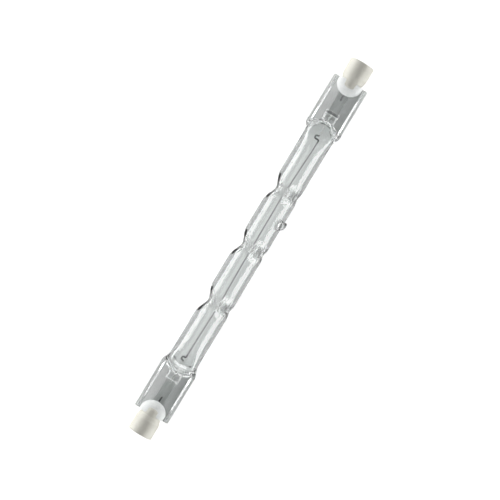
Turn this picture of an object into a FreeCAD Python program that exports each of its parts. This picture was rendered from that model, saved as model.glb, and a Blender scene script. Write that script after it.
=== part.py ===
import FreeCAD, Part

import math
import os

import Sketcher
from FreeCAD import Placement, Rotation, Vector

# Double-ended linear halogen lamp with recessed contacts, 117.6 mm over its ceramics.
# The lamp's axis is X, its middle is the origin, and the flat seals lie level, facing +Z.
# Each end is modelled on the +X side; the other end is the same pieces turned about Z.

# Driving dimensions, in millimetres and degrees
SIZES = [
    ("overall_length", 117.6, "ceramic end to ceramic end"),
    ("tube_diameter", 8.5, "outside of the quartz tube"),
    ("bore_diameter", 6.2, "inside of the quartz tube"),
    ("seal_inset", 6.12, "lamp's end to the quartz end"),
    ("seal_width", 10.6, "over both side rails"),
    ("web_length", 12.88, "quartz end to the foot of the shoulder"),
    ("web_thickness", 2.0, "flat of the pinch seal"),
    ("rail_width", 1.35, "side rail of the seal"),
    ("rail_height", 3.4, "side rail, face to face"),
    ("rail_rounding", 0.3, "edges of the side rails"),
    ("arch_radius", 6.65, "plan curve at the foot of the shoulder"),
    ("shoulder_crest", 0.15, "top of the shoulder's dome above the tube"),
    ("shoulder_slope", 48.0, "rise of the shoulder from the web"),
    ("shoulder_rounding", 3.0, "top of the shoulder"),
    ("shoulder_run", 1.9, "full seal width to the foot of the shoulder"),
    ("flare_length", 4.9, "round tube to full seal width"),
    ("throat_width", 2.45, "bore where it closes"),
    ("throat_height", 0.7, "bore where it closes"),
    ("pad_width", 3.35, "raised pad over the foil weld"),
    ("pad_height", 0.4, "pad above the web"),
    ("pad_length", 2.1, "pad from the shoulder's foot"),
    ("pad_ramp", 0.7, "slope at the pad's end"),
    ("pad_root", 2.0, "pad inside the shoulder"),
    ("waist_spacing", 17.8, "between the squeezed waists"),
    ("waist_dimple_depth", 1.6, "tube surface to the bottom of a dimple"),
    ("waist_lobe_depth", 0.4, "tube surface to the ridge between dimples"),
    ("waist_slope", 33.0, "side of a waist"),
    ("waist_rounding", 1.0, "bottom of a waist"),
    ("waist_wall", 1.4, "quartz wall in a waist"),
    ("tip_offset", 9.26, "exhaust tip from the middle"),
    ("tip_angle", 33.0, "exhaust tip above the seal plane"),
    ("tip_height", 1.75, "exhaust tip above the tube"),
    ("tip_foot_diameter", 3.6, "melted foot of the tip"),
    ("tip_neck_diameter", 2.3, "neck of the tip"),
    ("tip_foot_taper", 0.91, "tip's foot at the tube's surface, as a share of its diameter"),
    ("tip_root", 0.65, "depth of the tip's foot, as a share of the wall"),
    ("tip_crest_width", 1.5, "closed ridge at the tip's end"),
    ("tip_crest_thickness", 0.55, "closed ridge at the tip's end"),
    ("tip_lean", 0.7, "ridge off the tip's own axis"),
    ("cap_diameter", 7.1, "ceramic barrel"),
    ("cap_length", 8.2, "ceramic, end to nose"),
    ("barrel_length", 4.3, "full-diameter part of the ceramic"),
    ("neck_length", 1.5, "taper behind the barrel"),
    ("neck_diameter", 6.2, "ceramic behind the taper"),
    ("nose_diameter", 5.6, "ceramic at its nose"),
    ("nose_rounding", 1.0, "edge of the nose"),
    ("cap_edge_rounding", 0.3, "outer edge of the ceramic"),
    ("recess_diameter", 4.0, "contact recess"),
    ("recess_depth", 1.7, "ceramic end to contact face"),
    ("contact_diameter", 3.3, "contact's head, level with the recess floor"),
    ("contact_thickness", 0.6, "contact's head"),
    ("contact_clearance", 0.05, "contact in its seat, all round"),
    ("sleeve_diameter", 1.6, "contact's sleeve on the lead"),
    ("sleeve_length", 1.2, "contact's sleeve"),
    ("contact_skin", 0.3, "contact metal beyond the lead's end"),
    ("contact_rounding", 0.2, "edge of the contact's face"),
    ("lead_diameter", 0.65, "outer lead"),
    ("lead_clearance", 0.15, "outer lead in the ceramic, all round"),
    ("lead_in_seal", 5.68, "outer lead inside the quartz"),
    ("foil_width", 2.9, "sealing foil"),
    ("foil_thickness", 0.05, "sealing foil in its middle"),
    ("foil_feather", 0.3, "thinned margin of the foil"),
    ("foil_length", 8.0, "sealing foil"),
    ("foil_inset", 3.48, "quartz end to foil end"),
    ("weld_bite", 0.03, "flat on each wire where it meets the foil"),
    ("wire_diameter", 0.4, "inner lead"),
    ("wire_on_foil", 1.3, "inner lead along the foil"),
    ("hook_stand", 4.2, "foot of the shoulder to the hook's first leg"),
    ("hook_gap", 0.95, "between the hook's legs"),
    ("hook_reach", 0.8, "hook beside the axis"),
    ("hook_bend", 0.3, "bend radius of the hook"),
    ("spud_length", 0.9, "end of the inner lead inside the coil"),
    ("coil_diameter", 0.6, "outside of the filament coil"),
    ("cement_gap", 0.1, "cement between ceramic and web"),
    ("cement_radius", 4.22, "plan curve of the cement"),
    ("cement_width", 7.2, "cement across the lamp"),
    ("cement_height", 5.6, "cement from face to face of the seal"),
    ("cement_reach", 2.22, "cement ahead of the ceramic's nose"),
    ("cement_lip", 0.05, "cement past the quartz end"),
    ("overrun", 0.5, "cutting and joining forms past the surface that they work on"),
]

# Stations along the lamp and radii that several pieces share
PLACES = [
    ("cap_end", "sizes.overall_length / 2"),
    ("seal_end", "sizes.overall_length / 2 - sizes.seal_inset"),
    ("arch", "seal_end - sizes.web_length"),
    ("flare_end", "arch - sizes.shoulder_run"),
    ("flare_start", "flare_end - sizes.flare_length"),
    ("tube_radius", "sizes.tube_diameter / 2"),
    ("bore_radius", "sizes.bore_diameter / 2"),
    ("seal_half", "sizes.seal_width / 2"),
    ("web_half", "sizes.web_thickness / 2"),
    ("rail_inner", "sizes.seal_width / 2 - sizes.rail_width"),
    ("rail_top", "sizes.rail_height / 2"),
    ("barrel_start", "cap_end - sizes.barrel_length"),
    ("neck", "barrel_start - sizes.neck_length"),
    ("nose", "cap_end - sizes.cap_length"),
    ("cap_radius", "sizes.cap_diameter / 2"),
    ("neck_radius", "sizes.neck_diameter / 2"),
    ("nose_radius", "sizes.nose_diameter / 2"),
    ("recess_radius", "sizes.recess_diameter / 2"),
    ("recess_floor", "cap_end - sizes.recess_depth"),
    ("contact_radius", "sizes.contact_diameter / 2"),
    ("seat_floor", "recess_floor - sizes.contact_thickness"),
    ("seat_radius", "contact_radius + sizes.contact_clearance"),
    ("sleeve_start", "seat_floor - sizes.sleeve_length"),
    ("sleeve_radius", "sizes.sleeve_diameter / 2"),
    ("sleeve_bore", "sleeve_radius + sizes.contact_clearance"),
    ("lead_radius", "sizes.lead_diameter / 2"),
    ("lead_bore", "lead_radius + sizes.lead_clearance"),
    ("lead_end", "recess_floor - sizes.contact_skin"),
    ("lead_start", "seal_end - sizes.lead_in_seal"),
    ("slot_floor", "seal_end + 2 * sizes.cement_gap"),
    ("slot_half", "web_half + sizes.cement_gap"),
    ("cement_front", "nose - sizes.cement_reach"),
    ("cement_middle", "cement_front + sizes.cement_radius"),
    ("cement_back", "seal_end + sizes.cement_lip"),
    ("foil_end", "seal_end - sizes.foil_inset"),
    ("foil_start", "foil_end - sizes.foil_length"),
    ("foil_top", "sizes.weld_bite - lead_radius"),
    ("foil_middle", "foil_top - sizes.foil_thickness / 2"),
    ("foil_bottom", "foil_top - sizes.foil_thickness"),
    ("foil_half", "sizes.foil_width / 2"),
    ("foil_flat_half", "foil_half - sizes.foil_feather"),
    ("wire_radius", "sizes.wire_diameter / 2"),
    ("wire_level", "foil_top + wire_radius - sizes.weld_bite"),
    ("wire_start", "foil_start + sizes.wire_on_foil"),
    ("hook_outer", "arch - sizes.hook_stand"),
    ("hook_inner", "hook_outer - sizes.hook_gap"),
    ("spud_end", "hook_inner - sizes.spud_length"),
    ("coil_end", "hook_inner - sizes.hook_bend"),
    ("coil_radius", "sizes.coil_diameter / 2"),
    ("pad_half", "sizes.pad_width / 2"),
    ("pad_top", "web_half + sizes.pad_height"),
    ("pad_end", "arch + sizes.pad_length"),
    ("pad_foot", "pad_end + sizes.pad_ramp"),
    ("pad_inside", "arch - sizes.pad_root"),
    ("slab_half", "rail_top + sizes.overrun"),
    ("jaw_half", "seal_half + 2 * sizes.overrun"),
    ("jaw_top", "tube_radius + 2 * sizes.overrun"),
    ("jaw_end", "seal_end + 2 * sizes.overrun"),
    ("slot_mouth", "nose - 2 * sizes.overrun"),
]

# Where the hanging coil rests beside the axis, as (share of the coil's half length, offset in mm)
COIL_BOW = [
    (-0.93, -0.15), (-0.50, -0.45), (0.0, -0.05), (0.45, 0.10), (0.93, -0.55),
]

# How much of the shorter run beside a bend in the coil the bend takes
BEND_SHARE = 0.45

# Small step where a free form meets a round bar, so that their skins never nearly coincide
SEAM_STEP = 0.02

# Where a waist gets a section, as shares of its half length
WAIST_SHARES = (-1, -0.75, -0.5, -0.3, -0.15, 0, 0.15, 0.3, 0.5, 0.75, 1)

# The flare's sections: (share of its length, share of its widening, squareness of the section)
FLARE_SECTIONS = [
    (0.0, 0.0, 2.0), (0.22, 0.03, 2.0), (0.45, 0.24, 2.15), (0.68, 0.62, 2.5),
    (0.86, 0.91, 3.1), (1.0, 1.0, 3.6),
]
END_SQUARENESS = 4.0

# The throat's sections: (share of its length, share of the way from the bore to the slit,
# across the seal, and the same square to the seal)
THROAT_SECTIONS = [
    (0.0, 0.0, 0.0), (0.15, 0.01, 0.03), (0.40, 0.11, 0.22), (0.72, 0.53, 0.64),
    (0.92, 0.91, 0.94), (1.0, 1.0, 1.0),
]

# The exhaust tip's sections above the tube: (share of its height, share of the way from the
# neck to the crest along the lamp, the same round the tube, share of the lean)
TIP_NECK_SECTIONS = [(0.25, -0.15, -0.05, 0.10), (0.65, 0.0, 0.29, 0.55), (1.0, 1.0, 1.0, 1.0)]

# How far a bent wire's volume may be from its section times its length
VOLUME_TOLERANCE = 0.01

# What makes an ellipse's long half longer than its short one where the section is round
ROUND_OFFSET = 1e-4

# Points round a section that is worked out by a formula
SECTION_POINTS = 24

ALONG_X = Rotation(Vector(0, 1, 0), 90)
TURNED = Rotation(Vector(0, 0, 1), 180)
SIDES = {"right": 1, "left": -1}

doc = FreeCAD.newDocument("linear_halogen_bulb")
sizes = doc.addObject("Spreadsheet::Sheet", "sizes")
for row, (alias, number, note) in enumerate(SIZES, start=1):
    sizes.set(f"A{row}", alias)
    sizes.set(f"B{row}", str(number))
    sizes.set(f"C{row}", note)
    sizes.setAlias(f"B{row}", alias)
doc.recompute()

places = doc.addObject("Spreadsheet::Sheet", "places")
for row, (alias, formula) in enumerate(PLACES, start=1):
    places.set(f"A{row}", alias)
    places.set(f"B{row}", "=" + formula)
    places.setAlias(f"B{row}", alias)
    doc.recompute()


def size(alias):
    return float(sizes.get(alias))


def place(alias):
    return float(places.get(alias))


# Helpers
def bound(kind, name, **formulas):
    """A primitive whose properties follow the sheet."""
    obj = doc.addObject(kind, name)
    for prop, formula in formulas.items():
        obj.setExpression(prop.replace("__", "."), formula)
    return obj


def rod(name, radius, start, end):
    """A round bar along the lamp's axis, between two stations."""
    obj = doc.addObject("Part::Cylinder", name)
    obj.Placement = Placement(Vector(), ALONG_X)
    obj.setExpression("Radius", radius)
    obj.setExpression("Height", f"({end}) - ({start})")
    obj.setExpression("Placement.Base.x", start)
    return obj


def block(name, start, end, half_width, bottom, top):
    """A box along the lamp, centred across it."""
    return bound(
        "Part::Box", name,
        Length=f"({end}) - ({start})", Width=f"2 * ({half_width})", Height=f"({top}) - ({bottom})",
        Placement__Base__x=start, Placement__Base__y=f"-({half_width})", Placement__Base__z=bottom,
    )


def cut(name, base, tool):
    obj = doc.addObject("Part::Cut", name)
    obj.Base, obj.Tool = base, tool
    return obj


def fuse(name, parts):
    obj = doc.addObject("Part::MultiFuse", name)
    obj.Shapes = parts
    return obj


def form(name, shape, placement=None):
    """A piece whose shape is worked out in code from the sheet's values."""
    obj = doc.addObject("Part::Feature", name)
    obj.Shape = shape
    if placement:
        obj.Placement = placement
    return obj


def turned_copy(name, source):
    """The same form at the lamp's other end."""
    obj = doc.addObject("Part::Feature", name)
    obj.Shape = source.Shape
    obj.Placement = Placement(Vector(), TURNED).multiply(source.Placement)
    return obj


def origin_plane(body, role):
    return next(f for f in body.Origin.OriginFeatures if f.Role == role)


def new_body(name, label):
    body = doc.addObject("PartDesign::Body", name)
    body.Label = label
    return body


def polygon_sketch(body, name, role, corners):
    """A closed outline of straight lines whose corners are bound to the sheet.

    Each corner is a pair of alias names in the places sheet; None stands for the axis.
    A leading minus sign puts the corner on the other side of the axis.
    """
    def number(alias):
        if alias is None:
            return 0.0
        return -place(alias[1:]) if alias.startswith("-") else place(alias)

    sketch = body.newObject("Sketcher::SketchObject", name)
    sketch.AttachmentSupport = [(origin_plane(body, role), "")]
    sketch.MapMode = "FlatFace"
    spots = [Vector(number(u), number(v), 0) for u, v in corners]
    count = len(spots)
    for k, spot in enumerate(spots):
        sketch.addGeometry(Part.LineSegment(spot, spots[(k + 1) % count]), False)
    for k in range(count):
        sketch.addConstraint(Sketcher.Constraint("Coincident", k, 2, (k + 1) % count, 1))
    for k, (u, v) in enumerate(corners):
        for kind, axis, alias, value in (("DistanceX", -2, u, spots[k].x), ("DistanceY", -1, v, spots[k].y)):
            if alias is None:
                sketch.addConstraint(Sketcher.Constraint("PointOnObject", k, 1, axis))
                continue
            index = sketch.addConstraint(Sketcher.Constraint(kind, -1, 1, k, 1, value))
            sign, word = ("-", alias[1:]) if alias.startswith("-") else ("", alias)
            sketch.setExpression(f"Constraints[{index}]", f"{sign}places.{word}")
    return sketch


def round_edges(body, name, source, radius, chosen):
    """A fillet on the edges of the source feature that the test picks."""
    names = [f"Edge{k}" for k, edge in enumerate(source.Shape.Edges, start=1) if chosen(edge)]
    if not names:
        raise RuntimeError(f"{name}: no edge to round")
    feature = body.newObject("PartDesign::Fillet", name)
    feature.Base = (source, names)
    feature.setExpression("Radius", radius)
    doc.recompute()
    return feature


def is_circle_at(edge, station, radius):
    curve = edge.Curve
    if not isinstance(curve, Part.Circle):
        return False
    return abs(curve.Center.x - station) < 1e-3 and abs(curve.Radius - radius) < 1e-3


# Sections worked out by a formula
def section_wire(station, radius_at):
    """A smooth closed outline round the axis; angle 0 faces -Y and 90 degrees faces +Z."""
    points = []
    for k in range(SECTION_POINTS):
        angle = 2 * math.pi * k / SECTION_POINTS
        radius = radius_at(angle)
        points.append(Vector(station, -radius * math.cos(angle), radius * math.sin(angle)))
    curve = Part.BSplineCurve()
    curve.interpolate(points, PeriodicFlag=True)
    return Part.Wire(curve.toShape())


def rounded_box_radius(half_width, half_height, squareness):
    """Radius of a super-ellipse: 2 gives an ellipse, more gives a box with round corners."""
    def radius_at(angle):
        across = abs(math.cos(angle) / half_width) ** squareness
        upward = abs(math.sin(angle) / half_height) ** squareness
        return (across + upward) ** (-1 / squareness)
    return radius_at


def runs_and_arcs(points, radius):
    """Straight runs joined by tangent arcs, each as (start, end, the arc's centre or None).

    The radius is one value, or a list with one for each corner.
    """
    radii = radius if isinstance(radius, list) else [radius] * (len(points) - 2)
    runs = []
    start = points[0]
    for before, corner, after, bend in zip(points, points[1:], points[2:], radii):
        inward = (before - corner).normalize()
        outward = (after - corner).normalize()
        half_turn = (math.pi - inward.getAngle(outward)) / 2
        setback = bend * math.tan(half_turn)
        first = corner + inward * setback
        last = corner + outward * setback
        centre = corner + (inward + outward).normalize() * (bend / math.cos(half_turn))
        runs += [(start, first, None), (first, last, centre)]
        start = last
    runs.append((start, points[-1], None))
    return runs


def round_wire(runs, radius):
    """A round bar along runs and arcs: true cylinders and pieces of rings, joined end to end."""
    pieces = []
    for start, end, centre in runs:
        if centre is None:
            pieces.append(Part.makeCylinder(radius, start.distanceToPoint(end), start, end - start))
            continue
        axis = (start - centre).cross(end - centre)
        section = Part.Face(Part.Wire(Part.makeCircle(radius, start, axis.cross(start - centre))))
        turn = math.degrees((start - centre).getAngle(end - centre))
        pieces.append(section.revolve(centre, axis, turn))
    return pieces[0].multiFuse(pieces[1:])


def length_of(runs):
    total = 0
    for start, end, centre in runs:
        if centre is None:
            total += start.distanceToPoint(end)
        else:
            total += (start - centre).Length * (start - centre).getAngle(end - centre)
    return total


# The quartz tube with its waists
def waist_form(station, dimple_radius, lobe_radius, surface_radius):
    """What stays of a round bar where three punches squeeze it: a ring with three dimples.

    One dimple faces +Y and the others lie 120 degrees on. The section's radius grows away
    from the middle along a rounded V, until it stands clear of the bar's own surface.
    """
    slope = math.tan(math.radians(size("waist_slope")))
    rounding = size("waist_rounding")
    climb = (surface_radius + size("overrun") - dimple_radius) / slope + rounding
    reach = math.sqrt(climb ** 2 - rounding ** 2)
    middle_radius = (lobe_radius + dimple_radius) / 2
    swing = (lobe_radius - dimple_radius) / 2

    wires = []
    for share in WAIST_SHARES:
        rise = slope * (math.hypot(share * reach, rounding) - rounding)
        wires.append(section_wire(
            station + share * reach,
            lambda angle: middle_radius + swing * math.cos(3 * angle) + rise,
        ))
    kept = Part.makeLoft(wires, True)
    ring = Part.makeCylinder(
        surface_radius + 2 * size("overrun"), 2 * reach, Vector(station - reach, 0, 0), Vector(1, 0, 0)
    )
    return ring.cut(kept)


def waist_cutters(name, dimple_radius, lobe_radius, surface_radius):
    spacing = size("waist_spacing")
    return [
        form(f"{name}_{k + 2}", waist_form(k * spacing, dimple_radius, lobe_radius, surface_radius))
        for k in (-1, 0, 1)
    ]


def flare_form():
    """The shoulder's blank: the tube swells from round to the seal's width, with squarer sides."""
    start, end, foot = place("flare_start"), place("flare_end"), place("arch")
    round_radius, half_width = place("tube_radius") - SEAM_STEP, place("seal_half") - SEAM_STEP
    run = end - start
    grow = half_width - round_radius
    stations = [(start + share * run, widening, squareness) for share, widening, squareness in FLARE_SECTIONS]
    stations.append((foot + size("overrun"), 1.0, END_SQUARENESS))
    wires = [
        section_wire(x, rounded_box_radius(round_radius + widening * grow, round_radius, squareness))
        for x, widening, squareness in stations
    ]
    return Part.makeLoft(wires, True)


def shoulder_form():
    """The dome that the pinching jaws leave: round in plan, sloped and rounded in height."""
    foot_radius, web = size("arch_radius"), place("web_half")
    slope, rounding = math.radians(size("shoulder_slope")), size("shoulder_rounding")
    top = place("tube_radius") + size("shoulder_crest")
    arc_drop = rounding * (1 - math.cos(slope))
    arc_run = rounding * math.sin(slope)
    line_run = (top - arc_drop - web) / math.tan(slope)
    foot = Vector(foot_radius, 0, web)
    shoulder = Vector(foot_radius - line_run, 0, top - arc_drop)
    crest = Vector(foot_radius - line_run - arc_run, 0, top)
    centre = crest - Vector(0, 0, rounding)
    half = math.pi / 2 - slope / 2
    middle = centre + Vector(math.cos(half), 0, math.sin(half)) * rounding
    upper = [
        Part.LineSegment(Vector(foot_radius, 0, 0), foot).toShape(),
        Part.LineSegment(foot, shoulder).toShape(),
        Part.Arc(shoulder, middle, crest).toShape(),
        Part.LineSegment(crest, Vector(0, 0, top)).toShape(),
        Part.LineSegment(Vector(0, 0, top), Vector(0, 0, 0)).toShape(),
        Part.LineSegment(Vector(0, 0, 0), Vector(foot_radius, 0, 0)).toShape(),
    ]
    half_dome = Part.Face(Part.Wire(upper)).revolve(Vector(), Vector(0, 0, 1), 360)
    dome = half_dome.fuse(half_dome.mirror(Vector(), Vector(0, 0, 1))).removeSplitter()
    dome.translate(Vector(place("arch") - foot_radius, 0, 0))
    return dome


def jaw_body():
    """The upper jaw's face: a flat between two grooves that leave the side rails."""
    body = new_body("JawBody", "pinching_jaw")
    sketch = polygon_sketch(body, "JawOutline", "YZ_Plane", [
        ("-jaw_half", "rail_top"), ("-rail_inner", "rail_top"), ("-rail_inner", "web_half"),
        ("rail_inner", "web_half"), ("rail_inner", "rail_top"), ("jaw_half", "rail_top"),
        ("jaw_half", "jaw_top"), ("-jaw_half", "jaw_top"),
    ])
    pad = body.newObject("PartDesign::Pad", "JawPad")
    pad.Profile = sketch
    pad.setExpression("Length", "places.jaw_end - places.flare_start")
    doc.recompute()
    body.setExpression("Placement.Base.x", "places.flare_start")
    inner, low, high = place("rail_inner"), place("web_half"), place("rail_top")

    def along_rail(edge):
        middle = edge.CenterOfMass
        if abs(abs(middle.y) - inner) > 1e-3:
            return False
        return abs(middle.z - low) < 1e-3 or abs(middle.z - high) < 1e-3
    round_edges(body, "JawRounding", pad, "sizes.rail_rounding", along_rail)
    return body


def pad_form():
    """The raised pad on the web, ramped at its outer end."""
    inside, end, foot = place("pad_inside"), place("pad_end"), place("pad_foot")
    low, web, top = 0, place("web_half"), place("pad_top")
    half = place("pad_half")
    corners = [(inside, low), (inside, top), (end, top), (foot, web), (foot, low)]
    outline = [Vector(x, -half, z) for x, z in corners]
    return Part.Face(Part.makePolygon(outline + outline[:1])).extrude(Vector(0, 2 * half, 0))


def tip_form():
    """The melted exhaust tip: a round foot, a neck and a closed ridge that leans over."""
    tube = place("tube_radius")
    wall = tube - place("bore_radius")
    foot, neck = size("tip_foot_diameter") / 2, size("tip_neck_diameter") / 2
    crest, crest_half = size("tip_crest_width") / 2, size("tip_crest_thickness") / 2
    height, lean = size("tip_height"), size("tip_lean")
    rooted = tube - size("tip_root") * wall
    levels = [(rooted, foot, foot, 0.0), (tube, size("tip_foot_taper") * foot, size("tip_foot_taper") * foot, 0.0)]
    for rise, along, around, leaning in TIP_NECK_SECTIONS:
        long_half = neck + along * (crest - neck)
        short_half = neck + around * (crest_half - neck)
        levels.append((tube + rise * height, long_half, short_half, leaning * lean))
    wires = []
    for level, half_length, half_width, shift in levels:
        ellipse = Part.Ellipse(Vector(shift, 0, level), half_length + ROUND_OFFSET, half_width)
        wires.append(Part.Wire(ellipse.toShape()))
    return Part.makeLoft(wires, True)


def throat_form():
    """The bore's end: it narrows from round to a slit round the inner lead."""
    start, foot = place("flare_start"), place("arch")
    bore = place("bore_radius") - SEAM_STEP
    half_width, half_height = size("throat_width") / 2, size("throat_height") / 2
    run = foot - start
    wires = []
    for share, across, upward in THROAT_SECTIONS:
        wide = bore + across * (half_width - bore)
        high = bore + upward * (half_height - bore)
        wires.append(section_wire(start + share * run, rounded_box_radius(wide, high, 2)))
    return Part.makeLoft(wires, True)


def make_envelope_glass():
    """The quartz in one piece, still without the room for its foils and leads."""
    tube = rod("TubeOutside", "places.tube_radius", "-places.flare_start", "places.flare_start")
    flare = form("FlareRight", flare_form())
    slab = block("SealSlabRight", "places.flare_end", "places.seal_end", "places.seal_half",
                 "-places.slab_half", "places.slab_half")
    tip_turn = Rotation(Vector(1, 0, 0), 90 - size("tip_angle"))
    tip = form("ExhaustTip", tip_form(), Placement(Vector(size("tip_offset"), 0, 0), tip_turn))
    doc.recompute()
    outside = fuse("OutsideBlank", [
        tube, flare, turned_copy("FlareLeft", flare),
        slab, turned_copy("SealSlabLeft", slab), tip,
    ])

    dome = form("ShoulderDome", shoulder_form())
    pad = form("WeldPad", pad_form())
    jaw = jaw_body()
    upper = cut("UpperJaw", cut("JawRoundDome", jaw, dome), pad)
    doc.recompute()
    jaws = [upper]
    for name, turn in (
        ("LowerJaw", Rotation(Vector(1, 0, 0), 180)),
        ("UpperJawLeft", TURNED),
        ("LowerJawLeft", Rotation(Vector(0, 1, 0), 180)),
    ):
        jaws.append(form(name, upper.Shape, Placement(Vector(), turn)))

    tube_radius, wall = place("tube_radius"), size("waist_wall")
    dimple = tube_radius - size("waist_dimple_depth")
    lobe = tube_radius - size("waist_lobe_depth")
    squeezed = waist_cutters("Waist", dimple, lobe, tube_radius)
    outside = cut("Outside", outside, fuse("Tools", jaws + squeezed))

    bore = rod("Bore", "places.bore_radius", "-places.flare_start", "places.flare_start")
    inner = waist_cutters("BoreWaist", dimple - wall, lobe - wall, place("bore_radius"))
    throat = form("ThroatRight", throat_form())
    squeezed_bore = cut("SqueezedBore", bore, fuse("BoreWaists", inner))
    hollow = fuse("Hollow", [squeezed_bore, throat, turned_copy("ThroatLeft", throat)])
    return cut("EnvelopeGlass", outside, hollow)


# Metal inside the seals
def make_foil(side):
    """The sealing foil: flat in the middle, thinned to an edge on both sides."""
    name = f"Foil{side.title()}"
    body = new_body(name, f"sealing_foil_{side}")
    sketch = polygon_sketch(body, name + "Section", "YZ_Plane", [
        ("-foil_half", "foil_middle"), ("-foil_flat_half", "foil_bottom"), ("foil_flat_half", "foil_bottom"),
        ("foil_half", "foil_middle"), ("foil_flat_half", "foil_top"), ("-foil_flat_half", "foil_top"),
    ])
    pad = body.newObject("PartDesign::Pad", name + "Pad")
    pad.Profile = sketch
    pad.setExpression("Length", "sizes.foil_length")
    sign = "" if side == "right" else "-"
    if side == "left":
        body.Placement = Placement(Vector(), TURNED)
    body.setExpression("Placement.Base.x", f"{sign}places.foil_start")
    return body


def make_outer_lead(side):
    """The pin from the foil to the contact, with a flat where it is welded to the foil."""
    name = f"Lead{side.title()}"
    pin = rod(name + "Pin", "places.lead_radius", "places.lead_start", "places.lead_end")
    flat = block(name + "Flat", "places.lead_start - sizes.overrun", "places.foil_end", "sizes.lead_diameter",
                 "-sizes.lead_diameter", "places.foil_top")
    lead = cut(name, pin, flat)
    lead.Label = f"outer_lead_{side}"
    if side == "left":
        lead.Placement = Placement(Vector(), TURNED)
    return lead


def coil_rest(side):
    """How far the coil's end lies beside the lamp's axis."""
    return COIL_BOW[-1][1] if side == "right" else COIL_BOW[0][1]


def make_inner_lead(side):
    """The wire from the foil through the throat, hooked round and threaded into the coil."""
    name = f"Wire{side.title()}"
    way = SIDES[side]
    level, reach, rest = place("wire_level"), size("hook_reach"), coil_rest(side)
    outer, inner = place("hook_outer"), place("hook_inner")
    stations = [
        (place("wire_start"), 0), (outer, 0), (outer, reach), (inner, reach), (inner, rest),
        (place("spud_end"), rest),
    ]
    runs = runs_and_arcs([Vector(way * x, y, level) for x, y in stations], size("hook_bend"))
    radius = place("wire_radius")
    wire = round_wire(runs, radius)
    ratio = wire.Volume / (math.pi * radius ** 2 * length_of(runs))
    if abs(ratio - 1) > VOLUME_TOLERANCE:
        raise RuntimeError(f"{name}: volume is {ratio:.3f} of section times length")
    flat = Part.makeBox(
        2 * size("wire_on_foil"), 4 * radius, 4 * radius,
        Vector(place("foil_start"), -2 * radius, place("foil_top") - 4 * radius),
    )
    if way < 0:
        flat.rotate(Vector(), Vector(0, 0, 1), 180)
    wire = form(name, wire.cut(flat))
    wire.Label = f"inner_lead_{side}"
    return wire


def make_filament():
    """The coil as the tube that its turns fill, bowed as it hangs between its hooks."""
    half, level = place("coil_end"), place("wire_level")
    points = [Vector(-half, coil_rest("left"), level)]
    points += [Vector(share * half, offset, level) for share, offset in COIL_BOW]
    points.append(Vector(half, coil_rest("right"), level))
    bends = []
    for before, corner, after in zip(points, points[1:], points[2:]):
        turn = (corner - before).getAngle(after - corner)
        shorter = min(before.distanceToPoint(corner), corner.distanceToPoint(after))
        bends.append(BEND_SHARE * shorter / math.tan(turn / 2))
    runs = runs_and_arcs(points, bends)
    turns = round_wire(runs, place("coil_radius"))
    core = round_wire(runs, place("wire_radius"))
    filament = form("Filament", turns.cut(core))
    filament.Label = "filament"
    return filament


# Ceramic ends
def make_cap(side):
    """The turned ceramic: barrel, neck and nose, a contact recess, and a slot astride the web."""
    name = f"Cap{side.title()}"
    body = new_body(name, f"ceramic_cap_{side}")
    profile = polygon_sketch(body, name + "Profile", "XY_Plane", [
        ("cap_end", "recess_radius"), ("cap_end", "cap_radius"), ("barrel_start", "cap_radius"),
        ("neck", "neck_radius"), ("nose", "nose_radius"), ("nose", "lead_bore"),
        ("sleeve_start", "lead_bore"), ("sleeve_start", "sleeve_bore"), ("seat_floor", "sleeve_bore"),
        ("seat_floor", "seat_radius"), ("recess_floor", "seat_radius"), ("recess_floor", "recess_radius"),
    ])
    turned = body.newObject("PartDesign::Revolution", name + "Turned")
    turned.Profile = profile
    turned.ReferenceAxis = (profile, ["H_Axis"])
    turned.Angle = 360
    doc.recompute()
    end, nose = place("cap_end"), place("nose")
    edge = round_edges(body, name + "EdgeRounding", turned, "sizes.cap_edge_rounding",
                       lambda e: is_circle_at(e, end, place("cap_radius")))
    nosed = round_edges(body, name + "NoseRounding", edge, "sizes.nose_rounding",
                        lambda e: is_circle_at(e, nose, place("nose_radius")))
    slot = polygon_sketch(body, name + "SlotOutline", "XZ_Plane", [
        ("slot_mouth", "-slot_half"), ("slot_floor", "-slot_half"),
        ("slot_floor", "slot_half"), ("slot_mouth", "slot_half"),
    ])
    pocket = body.newObject("PartDesign::Pocket", name + "Slot")
    pocket.Profile = slot
    pocket.Midplane = True
    pocket.setExpression("Length", "2 * sizes.cap_diameter")
    doc.recompute()
    if pocket.Shape.Volume >= nosed.Shape.Volume:
        raise RuntimeError(f"{name}: the slot cuts nothing")
    if side == "left":
        body.Placement = Placement(Vector(), TURNED)
    return body


def make_contact(side):
    """The turned contact: a head in the ceramic's recess and a sleeve on the outer lead."""
    name = f"Contact{side.title()}"
    body = new_body(name, f"contact_button_{side}")
    profile = polygon_sketch(body, name + "Profile", "XY_Plane", [
        ("sleeve_start", "lead_radius"), ("sleeve_start", "sleeve_radius"), ("seat_floor", "sleeve_radius"),
        ("seat_floor", "contact_radius"), ("recess_floor", "contact_radius"), ("recess_floor", None),
        ("lead_end", None), ("lead_end", "lead_radius"),
    ])
    turned = body.newObject("PartDesign::Revolution", name + "Turned")
    turned.Profile = profile
    turned.ReferenceAxis = (profile, ["H_Axis"])
    turned.Angle = 360
    doc.recompute()
    round_edges(body, name + "Rounding", turned, "sizes.contact_rounding",
                lambda e: is_circle_at(e, place("recess_floor"), place("contact_radius")))
    if side == "left":
        body.Placement = Placement(Vector(), TURNED)
    return body


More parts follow.
